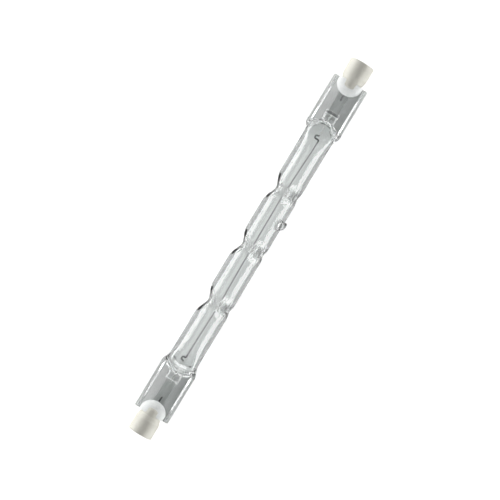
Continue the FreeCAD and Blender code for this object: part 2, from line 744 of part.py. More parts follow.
def make_cement(side, cap, glass, metal):
    """The cement: it fills the ceramic's slot round the web and swells out in front of the nose."""
    name = f"Cement{side.title()}"
    swelling = bound(
        "Part::Ellipsoid", name + "Swelling",
        Radius1="sizes.cement_height / 2", Radius2="sizes.cement_radius", Radius3="sizes.cement_radius",
        Placement__Base__x="places.cement_middle",
    )
    swelling.Angle1, swelling.Angle2, swelling.Angle3 = -90, 90, 360
    room = block(name + "Room", "places.cement_front - sizes.overrun", "places.cement_back", "sizes.cement_width / 2",
                 "-sizes.cement_height", "sizes.cement_height")
    ahead = doc.addObject("Part::Common", name + "Ahead")
    ahead.Base, ahead.Tool = swelling, room
    filling = block(name + "Filling", "places.nose + sizes.nose_rounding", "places.slot_floor",
                    "places.neck_radius - 2 * sizes.cement_gap", "-places.slot_half", "places.slot_half")
    doc.recompute()
    blank = fuse(name + "Blank", [ahead, filling])
    if side == "left":
        blank.Placement = Placement(Vector(), TURNED)
    cement = cut(name, blank, fuse(name + "Neighbours", [cap, glass] + metal))
    cement.Label = f"base_cement_{side}"
    return cement


# Main
nodes = []
embedded = []
seal_metal = {}
for side in SIDES:
    seal_metal[side] = [make_foil(side), make_outer_lead(side)]
    embedded += seal_metal[side] + [make_inner_lead(side)]
nodes += embedded
nodes.append(make_filament())
doc.recompute()

envelope = cut("QuartzEnvelope", make_envelope_glass(), fuse("Embedded", embedded))
envelope.Label = "quartz_envelope"
nodes.append(envelope)
doc.recompute()

for side in SIDES:
    cap = make_cap(side)
    nodes += [cap, make_contact(side), make_cement(side, cap, envelope, seal_metal[side])]
doc.recompute()

for obj in doc.Objects:
    if "Invalid" in obj.State or "Error" in obj.State:
        raise RuntimeError(f"{obj.Name}: {obj.State}")
for node in nodes:
    if node.Shape.isNull() or not node.Shape.isValid():
        raise RuntimeError(f"{node.Label}: its shape is empty or not valid")

os.makedirs("parts", exist_ok=True)
for node in nodes:
    node.Shape.exportStep(f"parts/{node.Label}.step")
    box = node.Shape.BoundBox
    print(node.Label, len(node.Shape.Solids), "solid,", round(node.Shape.Volume, 2), "mm3, x",
          round(box.XMin, 2), round(box.XMax, 2), "y", round(box.YMin, 2), round(box.YMax, 2),
          "z", round(box.ZMin, 2), round(box.ZMax, 2))
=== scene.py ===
import math

import bpy
import numpy as np
from mathutils import Matrix, Vector


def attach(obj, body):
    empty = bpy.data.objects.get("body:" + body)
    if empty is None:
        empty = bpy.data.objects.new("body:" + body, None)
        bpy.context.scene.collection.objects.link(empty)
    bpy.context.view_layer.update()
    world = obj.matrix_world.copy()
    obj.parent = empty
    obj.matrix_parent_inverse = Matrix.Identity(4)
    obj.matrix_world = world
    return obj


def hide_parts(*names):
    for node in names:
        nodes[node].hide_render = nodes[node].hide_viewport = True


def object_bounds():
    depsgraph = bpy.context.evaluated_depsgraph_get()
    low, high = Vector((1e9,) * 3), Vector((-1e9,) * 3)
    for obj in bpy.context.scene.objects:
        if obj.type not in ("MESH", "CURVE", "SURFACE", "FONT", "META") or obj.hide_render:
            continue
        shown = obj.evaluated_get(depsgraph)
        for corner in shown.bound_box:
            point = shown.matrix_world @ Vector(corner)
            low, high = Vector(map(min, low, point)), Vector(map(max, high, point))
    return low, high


# Double-ended linear halogen lamp on a white ground, seen from straight above.
# Shapes are worked out in millimetres, in the same frame as the solids, and scaled at the end.
# The far end is the one at +X, nearer the exhaust tip, and the near end is the one at -X.
# An outline is a row of (place, height) points with straight lines between them.

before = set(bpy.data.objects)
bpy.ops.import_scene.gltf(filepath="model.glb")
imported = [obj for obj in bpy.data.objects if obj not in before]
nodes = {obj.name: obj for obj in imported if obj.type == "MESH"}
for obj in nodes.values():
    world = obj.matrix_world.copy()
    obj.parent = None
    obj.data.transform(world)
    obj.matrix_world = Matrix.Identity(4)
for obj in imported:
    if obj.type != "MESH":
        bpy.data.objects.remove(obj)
cad_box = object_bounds()
scene = bpy.context.scene
MM = 0.001
TINY = 1e-12

# Tube: radius outside and inside
TUBE, BORE = 4.25, 3.1

# Pinch seals: where the flat begins at either end, where the quartz ends, and the seal across
ARCH_FAR, ARCH_NEAR = 40.15, 39.7
ARCH_RADIUS = 6.65
SEAL_END = 52.68
SEAL_HALF, WEB_HALF = 5.3, 1.08
WEB_CROWN = 0.012
RAIL = [(3.92, 0.0), (4.42, 0.46)]
PAD_FAR = [(41.95, 0.52), (42.3, 0.26), (42.95, 0.26), (43.3, 0.0)]
PAD_NEAR = [(41.45, 0.42), (42.0, 0.0)]
PAD_HALF, PAD_FLANK = 1.95, 0.87
STEP_UP = [(0.0, 0.0), (0.42, 0.32), (0.87, 1.06), (1.35, 1.42), (4.0, 5.0)]

# Flanks of the seals: their slope, where they start to close in, over what run, and how far off
FLANK_SLOPE = math.tan(math.radians(62))
FLANK_START, FLANK_RUN, FLANK_AWAY = 37.2, 1.6, 5

# Shoulders: the flare in width, the flattening in height, and the powers that make them square
FLARE_START, FLARE_END, FLARE_DELAY = 34.6, 38.2, 1.3
FLATTEN_START, FLATTEN_END = 29.5, 38.8
FLAT_HEIGHT = 2.55
FACET_START, FACET_MIDDLE, FACET_END = 36.4, 37.15, 39.1
FACET_SLOPE = math.tan(math.radians(37))
ROUND, SHOULDER_SQUARER, SEAL_SQUARER, SQUARING_RUN = 2, 1.2, 0.8, 2

# Hollow end: wall over the throat, its half width, and quartz between the bowl and the arch
THROAT_WALL, THROAT_HALF = 1.05, 3.75
BOWL_WALL = 0.62

# Waists: their places, the radius in a dimple and on a lobe between dimples, and the rise from it
WAISTS = (-17.8, 0.0, 17.8)
DIMPLE, LOBE = 2.65, 4.0
WAIST_SLOPE = math.tan(math.radians(33))
WAIST_ROUNDING = 1.0
WAIST_WALL = 1.2

# Exhaust tip: its turn up from -Y, its half lengths along and across the lamp over shares of its
# height, how far it leans over, and the void inside it
TIP_AT, TIP_TURN = 9.26, math.radians(33)
TIP_HEIGHT = 1.75
TIP_LONG = [(-0.5, 1.8), (0.0, 1.64), (0.25, 1.24), (0.65, 1.15), (1.0, 0.75)]
TIP_SHORT = [(-0.5, 1.8), (0.0, 1.62), (0.25, 1.20), (0.65, 0.90), (1.0, 0.28)]
TIP_LEAN, TIP_LEAN_RATE = 0.7, 0.8
TIP_ROOT = BORE + 0.4
VOID_LEVEL, VOID_HALF_LENGTH = 4.5, 0.95
VOID_RADIUS, VOID_TAPER = 0.85, 0.25

# Widths over which two surfaces of the quartz melt into each other
WAIST_BLEND = 0.7
TIP_BLEND = 0.45
TIP_TOP_BLEND = 0.35
TIP_ROOT_BLEND = 0.1
END_BLEND = 0.25
ARCH_BLEND = 0.14
FLANK_BLEND = 0.10

# What evens out two fields that rise faster than the distance from their surface
WAIST_EVEN, PRESS_EVEN = 0.86, 0.7

# Grid of the quartz's outside, as runs of (start, end, spacing) away from the middle, and a shift
# that keeps its lines off the shape's own flats
GRID_RUNS = (
    (0, 4.2, 0.24), (4.2, 7.0, 0.5), (7.0, 12.0, 0.22), (12.0, 13.6, 0.4), (13.6, 22.0, 0.24),
    (22.0, 32.0, 0.6), (32.0, 36.0, 0.25), (36.0, 43.5, 0.17), (43.5, 51.6, 0.5), (51.6, 52.95, 0.15),
)
GRID_HALF_WIDTH, GRID_HALF_HEIGHT, GRID_SPACING = 5.7, 4.7, 0.18
GRID_SHIFT = (0.013, 0.017, 0.011)
RELAXINGS = 6

# Rings of the hollow: runs away from the middle, then even ones and last gaps to its closed end
RING_RUNS = ((0, 4.2, 0.25), (4.2, 13.6, 0.8), (13.6, 22.0, 0.25), (22.0, 29.5, 0.9), (29.5, 37.2, 0.25))
CLOSING_RINGS, CLOSING_GAPS = 20, (0.1, 0.06, 0.03, 0.012, 0.001)
RING_TURNS = 88
VOID_RINGS, VOID_TURNS = 14, 28

# Coil: where it rests, as (share of its half length, offset to the side), the radius of its wire
# and of its turns, and their pitch
COIL_REST = [(-0.93, -0.15), (-0.50, -0.45), (0.0, -0.05), (0.45, 0.10), (0.93, -0.55)]
COIL_END, COIL_LEVEL = 34.35, -0.125
COIL_WIRE, COIL_MIDDLE, COIL_PITCH = 0.045, 0.19, 0.17
COIL_STEPS, COIL_SIDES = 12, 6
SAG_SMOOTHINGS = 60


# Helpers for meshes and fields
def add_object(name, data):
    obj = bpy.data.objects.new(name, data)
    scene.collection.objects.link(obj)
    return obj


def smooth_mesh(name, points, faces, normals=None):
    """A smooth-shaded object from points in millimetres."""
    mesh = bpy.data.meshes.new(name)
    mesh.from_pydata((np.asarray(points) * MM).tolist(), [], [list(map(int, f)) for f in faces])
    mesh.polygons.foreach_set("use_smooth", [True] * len(mesh.polygons))
    if normals is not None:
        mesh.normals_split_custom_set_from_vertices(np.asarray(normals).tolist())
    mesh.update()
    return add_object(name, mesh)


def smooth_min(a, b, width):
    mix = np.clip(0.5 + 0.5 * (b - a) / width, 0, 1)
    return b * (1 - mix) + a * mix - width * mix * (1 - mix)


def smooth_max(a, b, width):
    return -smooth_min(-a, -b, width)


def ease(t):
    t = np.clip(t, 0, 1)
    return t * t * (3 - 2 * t)


def share_of(value, start, end):
    return (value - start) / (end - start)


def follow(outline, place):
    """Height of an outline at a place."""
    places, heights = zip(*outline)
    return np.interp(place, places, heights)


def polar(y, z):
    return np.hypot(y, z), np.arctan2(z, y)


def ring_angles(turns):
    return np.arange(turns) * 2 * math.pi / turns


# The quartz from outside, as distance fields: below zero inside the quartz
def waist_radius(x, angle, middle):
    """Radius that a waist's three punches leave; one dimple faces +Y."""
    rise = WAIST_SLOPE * (np.hypot(x - middle, WAIST_ROUNDING) - WAIST_ROUNDING)
    return (LOBE + DIMPLE) / 2 - (LOBE - DIMPLE) / 2 * np.cos(3 * angle) + rise


def shoulder_height(x):
    """Half height of the hollow end: one long curve at the far end, and two facets at the near end."""
    ax = np.abs(x)
    run = np.clip(share_of(ax, FLATTEN_START, FLATTEN_END), 0, 1)
    long_curve = TUBE - (TUBE - FLAT_HEIGHT) * run ** 2
    knee = TUBE - (FACET_MIDDLE - FACET_START) * FACET_SLOPE
    facets = follow([(FACET_START, TUBE), (FACET_MIDDLE, knee), (FACET_END, FLAT_HEIGHT)], ax)
    return np.where(x > 0, long_curve, facets)


def arch_place(x):
    """How far along the lamp the flat of the seal begins, at either end."""
    return np.where(x > 0, ARCH_FAR, ARCH_NEAR)


def pad_height(x, ay):
    """The raised pad beside the arch: two low steps at the far end and one at the near end."""
    ax = np.abs(x)
    steps = np.where(x > 0, follow(PAD_FAR, ax), follow(PAD_NEAR, ax))
    return np.maximum(np.minimum(steps, (PAD_HALF - ay) * PAD_FLANK), 0)


def pressed_height(x, y):
    """Half height of what the jaws leave: web, pad and rails, and the step up to the hollow end."""
    ax, ay = np.abs(x), np.abs(y)
    flat = WEB_HALF - WEB_CROWN * y * y + follow(RAIL, ay) + pad_height(x, ay)
    reach = np.hypot(np.maximum(ax - arch_place(x) + ARCH_RADIUS, 0), y)
    step = follow(STEP_UP, ARCH_RADIUS - reach)
    flank = (SEAL_HALF - ay) * FLANK_SLOPE + FLANK_AWAY * (1 - ease((ax - FLANK_START) / FLANK_RUN))
    return smooth_min(flat + step, flank, FLANK_BLEND)


def quartz_outside(p):
    """The whole quartz: tube and shoulders, less the waists' dimples and the jaws' bite, plus the tip."""
    x, y, z = p[..., 0], p[..., 1], p[..., 2]
    ax, ay, az = np.abs(x), np.abs(y), np.abs(z)
    r, angle = polar(y, z)
    flare = np.clip(share_of(ax, FLARE_START, FLARE_END), 0, 1)
    half = TUBE + (SEAL_HALF - TUBE) * ease(flare ** FLARE_DELAY)
    square = (ROUND + SHOULDER_SQUARER * ease(share_of(ax, FLATTEN_START, FLATTEN_END))
              + SEAL_SQUARER * ease((ax - FLARE_END) / SQUARING_RUN))
    grown = ((ay / half) ** square + (az / shoulder_height(x)) ** square + TINY) ** (1 / square)
    solid = r * (1 - 1 / grown)
    for middle in WAISTS:
        solid = smooth_max(solid, (r - waist_radius(x, angle, middle)) * WAIST_EVEN, WAIST_BLEND)
    pressed = np.where(ax > FLATTEN_START, (az - pressed_height(x, y)) * PRESS_EVEN, -1.0)
    solid = smooth_max(solid, pressed, ARCH_BLEND)
    solid = smooth_max(solid, ax - SEAL_END, END_BLEND)
    return smooth_min(solid, tip_outside(p), TIP_BLEND)


def tip_lean(level):
    """How far the melted tip leans towards +X at a height over the lamp's axis."""
    return TIP_LEAN * ease((level - TUBE) / TIP_HEIGHT * TIP_LEAN_RATE)


def tip_outside(p):
    """The melted exhaust tip: a round foot, a neck and a closed ridge that leans over."""
    x, y, z = p[..., 0], p[..., 1], p[..., 2]
    level = -y * math.cos(TIP_TURN) + z * math.sin(TIP_TURN)
    beside = y * math.sin(TIP_TURN) + z * math.cos(TIP_TURN)
    rise = (level - TUBE) / TIP_HEIGHT
    short_half = follow(TIP_SHORT, rise)
    grown = np.hypot((x - TIP_AT - tip_lean(level)) / follow(TIP_LONG, rise), beside / short_half)
    capped = smooth_max((grown - 1) * short_half, level - TUBE - TIP_HEIGHT, TIP_TOP_BLEND)
    return smooth_max(capped, TIP_ROOT - level, TIP_ROOT_BLEND)


# The hollow
def bore_radius(x, angle):
    """The hollow: round, squeezed in the waists, flattened in the shoulders and closed along the arch."""
    ax = np.abs(x)
    radius = np.full_like(ax * angle, BORE)
    for middle in WAISTS:
        radius = smooth_min(radius, waist_radius(x, angle, middle) - WAIST_WALL, WAIST_BLEND)
    share = ease(share_of(ax, FLATTEN_START, FLATTEN_END))
    half_width = BORE + (THROAT_HALF - BORE) * share
    half_height = np.minimum(shoulder_height(x) - THROAT_WALL, BORE)
    square = ROUND + SHOULDER_SQUARER * share
    across, upward = np.abs(np.cos(angle)), np.abs(np.sin(angle))
    throat = 1 / ((across / half_width) ** square + (upward / half_height) ** square) ** (1 / square)
    past_middle = np.maximum(ax - arch_place(x) + ARCH_RADIUS, 0)
    bowl_half = np.sqrt(np.clip((ARCH_RADIUS - BOWL_WALL) ** 2 - past_middle ** 2, 0.0, None))
    throat = np.where(throat * across > bowl_half, bowl_half / np.maximum(across, TINY), throat)
    return np.where(ax > FLATTEN_START, throat, radius)


def hollow_field(p):
    r, angle = polar(p[..., 1], p[..., 2])
    return r - bore_radius(p[..., 0], angle)


# From fields to points, faces and normals
def slope_of(field, p, step=0.004):
    out = np.empty_like(p)
    for k in range(3):
        shift = np.zeros(3)
        shift[k] = step
        out[:, k] = (field(p + shift) - field(p - shift)) / (2 * step)
    return out


def settle(p, field, times=1, least_steep=0.05, longest_move=0.15):
    """Moves points onto the field's surface."""
    for _ in range(times):
        slope = slope_of(field, p)
        steep = np.maximum((slope ** 2).sum(1), least_steep)
        move = slope * (field(p) / steep)[:, None]
        too_long = np.maximum(np.linalg.norm(move, axis=1) / longest_move, 1)
        p = p - move / too_long[:, None]
    return p


def surface_net(field, xs, ys, zs):
    """Points and quads of a field's surface on a grid of cells, one point in each cell it crosses."""
    inside = field(np.stack(np.meshgrid(xs, ys, zs, indexing="ij"), -1)) < 0
    shape = tuple(n - 1 for n in inside.shape)
    corners_in = np.zeros(shape, int)
    for i in (0, 1):
        for j in (0, 1):
            for k in (0, 1):
                corners_in += inside[i:i + shape[0], j:j + shape[1], k:k + shape[2]]
    crossed = (corners_in > 0) & (corners_in < 8)
    number = np.full(crossed.shape, -1)
    number[crossed] = np.arange(crossed.sum())
    middles = [(line[1:] + line[:-1]) / 2 for line in (xs, ys, zs)]
    points = np.stack(np.meshgrid(*middles, indexing="ij"), -1)[crossed]
    return points, np.concatenate([edge_quads(inside, number, axis) for axis in range(3)])


def edge_quads(inside, number, axis):
    """One quad round each grid edge along an axis whose ends lie on two sides of the surface."""
    u, v = (axis + 1) % 3, (axis + 2) % 3
    low, high, inner = [slice(None)] * 3, [slice(None)] * 3, [slice(None)] * 3
    low[axis], high[axis] = slice(None, -1), slice(1, None)
    inner[u], inner[v] = slice(1, -1), slice(1, -1)
    crossing = inside[tuple(low)] != inside[tuple(high)]
    cells = np.argwhere(crossing[tuple(inner)])
    cells[:, u] += 1
    cells[:, v] += 1
    corners = []
    for du, dv in ((-1, -1), (0, -1), (0, 0), (-1, 0)):
        at = cells.copy()
        at[:, u] += du
        at[:, v] += dv
        corners.append(number[tuple(at.T)])
    quads = np.stack(corners, 1)
    leaving = inside[tuple(cells.T)]
    quads[~leaving] = quads[~leaving][:, ::-1]
    return quads


def relax(points, quads, field, times):
    """Evens out the points' spacing and keeps them on the field's surface."""
    edges = np.concatenate([quads[:, [k, (k + 1) % 4]] for k in range(4)])
    a, b = edges[:, 0], edges[:, 1]
    count = np.bincount(a, minlength=len(points)) + np.bincount(b, minlength=len(points))
    for _ in range(times):
        total = np.zeros_like(points)
        for k in range(3):
            total[:, k] = (np.bincount(a, points[b, k], len(points))
                           + np.bincount(b, points[a, k], len(points)))
        points = settle(0.5 * points + 0.5 * total / count[:, None], field)
    return settle(points, field, 3)


def ring_quads(index, flipped=False):
    """Quads between each ring of points and the next."""
    after = np.roll(index, -1, 1)
    corners = [index[:-1], index[1:], after[1:], after[:-1]]
    if flipped:
        corners[1], corners[3] = corners[3], corners[1]
    return np.stack(corners, -1).reshape(-1, 4).tolist()


def fan(tip, ring, flipped=False):
    """Triangles between a tip and a closed ring of points."""
    pairs = zip(ring, np.roll(ring, -1))
    return [(tip, b, a) if flipped else (tip, a, b) for a, b in pairs]


def stations(runs):
    """Places from 0 outwards, from runs of (start, end, spacing)."""
    places = [0.0]
    for start, end, spacing in runs:
        steps = max(1, round((end - start) / spacing))
        places += np.linspace(start, end, steps + 1)[1:].tolist()
    return places


def mirrored(near, far):
    """Places along the whole lamp, from those on the near and the far side of its middle."""
    return np.array([-place for place in reversed(near[1:])] + far)


def grid_lines(half):
    """Evenly spaced lines from one side of the lamp's axis to the other."""
    return np.arange(-half, half, GRID_SPACING)


def outer_skin():
    """Points, faces and normals of the quartz from outside."""
    along = stations(GRID_RUNS)
    lines = (mirrored(along, along), grid_lines(GRID_HALF_WIDTH), grid_lines(GRID_HALF_HEIGHT))
    lines = [line + shift for line, shift in zip(lines, GRID_SHIFT)]
    points, quads = surface_net(quartz_outside, *lines)
    points = relax(points, quads, quartz_outside, RELAXINGS)
    return points, quads.tolist(), slope_of(quartz_outside, points)


def closed_end(end):
    """Rings that crowd together towards the hollow's closed end."""
    even = np.linspace(RING_RUNS[-1][1], end - CLOSING_GAPS[0], CLOSING_RINGS)[1:]
    return even.tolist() + [end - gap for gap in CLOSING_GAPS[1:]]


def hollow_skin():
    """Points, faces and normals of the hollow, ring by ring along the lamp."""
    half = stations(RING_RUNS)
    near_end, far_end = ARCH_NEAR - BOWL_WALL, ARCH_FAR - BOWL_WALL
    rings = mirrored(half + closed_end(near_end), half + closed_end(far_end))
    x, angle = np.meshgrid(rings, ring_angles(RING_TURNS), indexing="ij")
    radius = bore_radius(x, angle)
    points = np.stack([x, radius * np.cos(angle), radius * np.sin(angle)], -1).reshape(-1, 3)
    inward = -slope_of(hollow_field, points, step=0.01)
    index = np.arange(len(points)).reshape(x.shape)
    near_tip, far_tip = len(points), len(points) + 1
    faces = ring_quads(index) + fan(near_tip, index[0]) + fan(far_tip, index[-1], flipped=True)
    points = np.concatenate([points, [[-near_end, 0, 0], [far_end, 0, 0]]])
    return points, faces, np.concatenate([inward, [[1, 0, 0], [-1, 0, 0]]])


def tip_point(level, along, beside):
    """A place in the tip, from its height over the lamp's axis and two offsets."""
    return np.stack([TIP_AT + tip_lean(level) + along,
                     -level * math.cos(TIP_TURN) + beside * math.sin(TIP_TURN),
                     level * math.sin(TIP_TURN) + beside * math.cos(TIP_TURN)], -1)


def void_skin():
    """Points, faces and normals of the exhaust tube's closed-off end in the tip, an egg-shaped void."""
    down = np.linspace(0, math.pi, VOID_RINGS + 1)[1:-1]
    down, turn = np.meshgrid(down, ring_angles(VOID_TURNS), indexing="ij")
    level = VOID_LEVEL + VOID_HALF_LENGTH * np.cos(down)
    width = VOID_RADIUS * np.sin(down) * (1 - VOID_TAPER * np.cos(down))
    rings = tip_point(level, width * np.cos(turn), width * np.sin(turn))
    ends = tip_point(VOID_LEVEL + VOID_HALF_LENGTH * np.array([1.0, -1.0]), 0.0, 0.0)
    points = np.concatenate([rings.reshape(-1, 3), ends])
    index = np.arange(down.size).reshape(down.shape)
    top, foot = down.size, down.size + 1
    faces = ring_quads(index, flipped=True) + fan(top, index[0], flipped=True) + fan(foot, index[-1])
    return points, faces, points.mean(0) - points


def make_quartz():
    """One mesh with three closed skins: the outside, the hollow and the tip's void."""
    points, faces, normals = [], [], []
    count = 0
    for skin_points, skin_faces, skin_normals in (outer_skin(), hollow_skin(), void_skin()):
        points.append(skin_points)
        faces += [[corner + count for corner in face] for face in skin_faces]
        normals.append(skin_normals)
        count += len(skin_points)
    normals = np.concatenate(normals)
    normals /= np.maximum(np.linalg.norm(normals, axis=1), TINY)[:, None]
    return smooth_mesh("quartz_body", np.concatenate(points), faces, normals)


# The coil
def coil_sag(x):
    """How far beside the lamp's axis the coil hangs."""
    outline = [(-1, COIL_REST[0][1])] + COIL_REST + [(1, COIL_REST[-1][1])]
    sag = follow([(share * COIL_END, offset) for share, offset in outline], x)
    for _ in range(SAG_SMOOTHINGS):
        sag[1:-1] = (sag[:-2] + 2 * sag[1:-1] + sag[2:]) / 4
    return sag


def make_coil():
    """One wire wound round the sagging line between the two hooks."""
    turns = int(2 * COIL_END / COIL_PITCH)
    t = np.arange(turns * COIL_STEPS + 1)
    x = -COIL_END + 2 * COIL_END * t / t[-1]
    phase = 2 * math.pi * t / COIL_STEPS
    outward = np.stack([0 * x, np.cos(phase), np.sin(phase)], -1)
    middle = np.stack([x, coil_sag(x), 0 * x + COIL_LEVEL], -1) + COIL_MIDDLE * outward
    ring = ring_angles(COIL_SIDES)[None, :, None]
    sideways = np.array([1.0, 0.0, 0.0])
    points = middle[:, None] + COIL_WIRE * (np.cos(ring) * outward[:, None] + np.sin(ring) * sideways)
    index = np.arange(len(t) * COIL_SIDES).reshape(len(t), COIL_SIDES)
    faces = ring_quads(index) + [index[0], index[-1][::-1]]
    return smooth_mesh("coiled_filament", points.reshape(-1, 3), faces)


# Materials, all from nodes
class Nodes:
    """Builds one node material; every helper gives back an output socket."""

    def __init__(self, name, rough, metal=0.0, clear=0.0):
        self.mat = bpy.data.materials.new(name)
        self.mat.use_nodes = True
        self.tree = self.mat.node_tree
        self.shader = self.tree.nodes["Principled BSDF"]
        self.shader.inputs["Roughness"].default_value = rough
        self.shader.inputs["Metallic"].default_value = metal
        self.shader.inputs["Transmission Weight"].default_value = clear
        self.place = self.tree.nodes.new("ShaderNodeTexCoord").outputs["Object"]

    def put(self, socket, value):
        if isinstance(value, bpy.types.NodeSocket):
            self.tree.links.new(value, socket)
        else:
            socket.default_value = value

    def math(self, kind, a, b=0.0):
        node = self.tree.nodes.new("ShaderNodeMath")
        node.operation = kind
        self.put(node.inputs[0], a)
        self.put(node.inputs[1], b)
        return node.outputs[0]

    def plus(self, a, b):
        return self.math("ADD", a, b)

    def times(self, a, b):
        return self.math("MULTIPLY", a, b)

    def squares(self, a, b):
        return self.plus(self.times(a, a), self.times(b, b))

    def distance(self, a, b):
        return self.math("SQRT", self.squares(a, b))

    def axis(self, name):
        """The piece's own place along X, Y or Z, in millimetres."""
        node = self.tree.nodes.new("ShaderNodeSeparateXYZ")
        self.put(node.inputs[0], self.place)
        return self.times(node.outputs[name], 1 / MM)

    def turned_away(self):
        """How far the surface turns away from the eye: 0 when it faces it, and 1 when seen edge on."""
        node = self.tree.nodes.new("ShaderNodeLayerWeight")
        node.inputs["Blend"].default_value = 0.5
        return node.outputs["Facing"]

    def ramp(self, value, low, high, start=0.0, end=1.0):
        node = self.tree.nodes.new("ShaderNodeMapRange")
        node.interpolation_type = "SMOOTHSTEP"
        for socket, v in zip(node.inputs, (value, low, high, start, end)):
            self.put(socket, v)
        return node.outputs[0]

    def band(self, value, low, high, soft):
        """One between low and high, with soft sides inside them."""
        return self.times(self.ramp(value, low, low + soft), self.ramp(value, high, high - soft))

    def noise(self, per_mm, detail=3.0, stretch=(1.0, 1.0, 1.0)):
        spread = self.tree.nodes.new("ShaderNodeMapping")
        spread.inputs["Scale"].default_value = tuple(per_mm / MM * s for s in stretch)
        self.put(spread.inputs[0], self.place)
        node = self.tree.nodes.new("ShaderNodeTexNoise")
        node.inputs["Scale"].default_value = 1.0
        node.inputs["Detail"].default_value = detail
        self.put(node.inputs["Vector"], spread.outputs[0])
        return node.outputs[0]

    def blend(self, share, a, b):
        node = self.tree.nodes.new("ShaderNodeMix")
        node.data_type = "RGBA"
        self.put(node.inputs["Factor"], share)
        self.put(node.inputs["A"], (*a, 1) if isinstance(a, tuple) else a)
        self.put(node.inputs["B"], (*b, 1) if isinstance(b, tuple) else b)
        return node.outputs["Result"]

    def bump(self, height, depth_mm):
        node = self.tree.nodes.new("ShaderNodeBump")
        node.inputs["Strength"].default_value = 1.0
        node.inputs["Distance"].default_value = depth_mm * MM
        self.put(node.inputs["Height"], height)
        self.put(self.shader.inputs["Normal"], node.outputs[0])

    def set(self, name, value):
        self.put(self.shader.inputs[name], value)


# Quartz: tints of its parts, as what each leaves of white light; all but the tube's are painted shade
QUARTZ_IOR = 1.459
TUBE_TINT = (0.984, 1.0, 0.994)
# Painted shade: the shoulders greyer, and the near end's facet darker still
SHOULDER_SHADE_TINT = (0.88, 0.90, 0.895)
FACET_SHADE_TINT = (0.78, 0.80, 0.795)
# Painted shade: the waists greyer, and darker on their -Y side
WAIST_SHADE_TINT = (0.90, 0.915, 0.91)
WAIST_SIDE_SHADE_TINT = (0.70, 0.715, 0.71)
# Painted shade on the seals' flats, as (at -Y, at +Y): grey, and darkest at -Y
SEAL_SHADE_TINTS = (0.44, 0.46, 0.455), (0.78, 0.80, 0.795)
# Painted dark lines: along the bore's side, at the core's edge and round the outline
PAINTED_BORE_LINE_TINT = (0.55, 0.565, 0.56)
PAINTED_CORE_LINE_TINT = (0.72, 0.735, 0.73)
PAINTED_OUTLINE_TINT = (0.30, 0.31, 0.305)

# Where each look fades, as (none of it, all of it): along the lamp, and beside its axis
# Painted shade on the shoulders and the facet, and the painted dark lines, fade over the next four
SHOULDER_SHADE_FADE = (33.0, 38.5)
FACET_SHADE_FADE = (-36.9, -37.5)
TUBE_LINES_FADE = (38.0, 34.0)
OUTLINE_WEAKENS = (35.0, 37.5)
WAISTS_FADE = (24.0, 20.0)
WAIST_FADE = (2.4, 0.8)
# Painted shade on the waists' -Y side fades over this
WAIST_SIDE_SHADE_FADE = (-0.6, -2.4)
BORE_SIDE_FADE = (BORE + 0.2, BORE + 0.4)
WEB_FADE = (ARCH_RADIUS - 0.3, ARCH_RADIUS + 0.1)
RAIL_FADE = (RAIL[0][0] + 0.1, RAIL[0][0] - 0.1)

# The tip's melted patch: where its middle is beside the axis, and its fade in square millimetres
MELTED_SIDE = -TUBE - 0.6
MELTED_FADE = (5.0, 2.2)

# Painted dark lines that show at one turn away from the eye, as (start, end, softness), and the outline's
# fade
BORE_LINE, BORE_LINE_STRENGTH = (0.375, 0.43, 0.015), 0.9
CORE_LINE, CORE_LINE_STRENGTH = (0.085, 0.135, 0.02), 0.45
OUTLINE_FADE = (0.73, 0.79)

# Depth of one unit of bump on the quartz in millimetres, and how much of it each pattern gets
QUARTZ_BUMP = 0.006
DRAW_LINES, WRINKLES = 0.35, 24.0

# Metal inside the seals: the weld's dark bar on the far foil, and the leads' heat mark
WELD_BAR = (42.2, 43.1, 0.2)
HEAT_FADE = (36.4, 35.4)


def seal_web(n, along, y):
    """One on the pressed flat of either seal, between its rails."""
    past_middle = n.math("MAXIMUM", n.math("SUBTRACT", along, ARCH_FAR - ARCH_RADIUS), 0.0)
    pressed = n.ramp(n.distance(past_middle, y), *WEB_FADE)
    return n.times(pressed, n.ramp(n.math("ABSOLUTE", y), *RAIL_FADE))


def quartz_tint_and_shade(n, web, squeezed, x, y):
    """Clear in the tube; painted shade greys the seals, the shoulders and the waists, the seals and
    waists most at -Y.
    """
    along = n.math("ABSOLUTE", x)
    patches = n.times(n.math("SUBTRACT", n.noise(0.6), 0.5), 0.3)
    # Painted shade on the seals' flats: lighter at +Y, darker at -Y, in random patches
    painted_seal_shade = n.blend(n.plus(n.ramp(y, -SEAL_HALF, SEAL_HALF), patches), *SEAL_SHADE_TINTS)
    tint = n.blend(n.ramp(along, *SHOULDER_SHADE_FADE), TUBE_TINT, SHOULDER_SHADE_TINT)
    tint = n.blend(n.ramp(x, *FACET_SHADE_FADE), tint, FACET_SHADE_TINT)
    tint = n.blend(squeezed, tint, WAIST_SHADE_TINT)
    tint = n.blend(n.times(squeezed, n.ramp(y, *WAIST_SIDE_SHADE_FADE)), tint, WAIST_SIDE_SHADE_TINT)
    return n.blend(web, tint, painted_seal_shade)


def painted_quartz_lines(n, tint, away, melted, squeezed, along, from_axis):
    """Painted dark lines on the tube: where the bore's side and its core show, and along its outline."""
    on_tube = n.times(n.ramp(along, *TUBE_LINES_FADE), n.ramp(from_axis, *BORE_SIDE_FADE))
    painted_bore_line = n.times(n.band(away, *BORE_LINE), BORE_LINE_STRENGTH)
    painted_core_line = n.times(n.band(away, *CORE_LINE), CORE_LINE_STRENGTH)
    tint = n.blend(n.times(painted_bore_line, on_tube), tint, PAINTED_BORE_LINE_TINT)
    tint = n.blend(n.times(painted_core_line, on_tube), tint, PAINTED_CORE_LINE_TINT)
    outline = n.times(n.ramp(away, *OUTLINE_FADE), n.ramp(melted, 0.0, 1.0, 1.0, 0.35))
    outline = n.times(outline, n.ramp(squeezed, 0.0, 1.0, 1.0, 0.5))
    outline = n.times(outline, n.ramp(along, *OUTLINE_WEAKENS, 1.0, 0.35))
    return n.blend(outline, tint, PAINTED_OUTLINE_TINT)


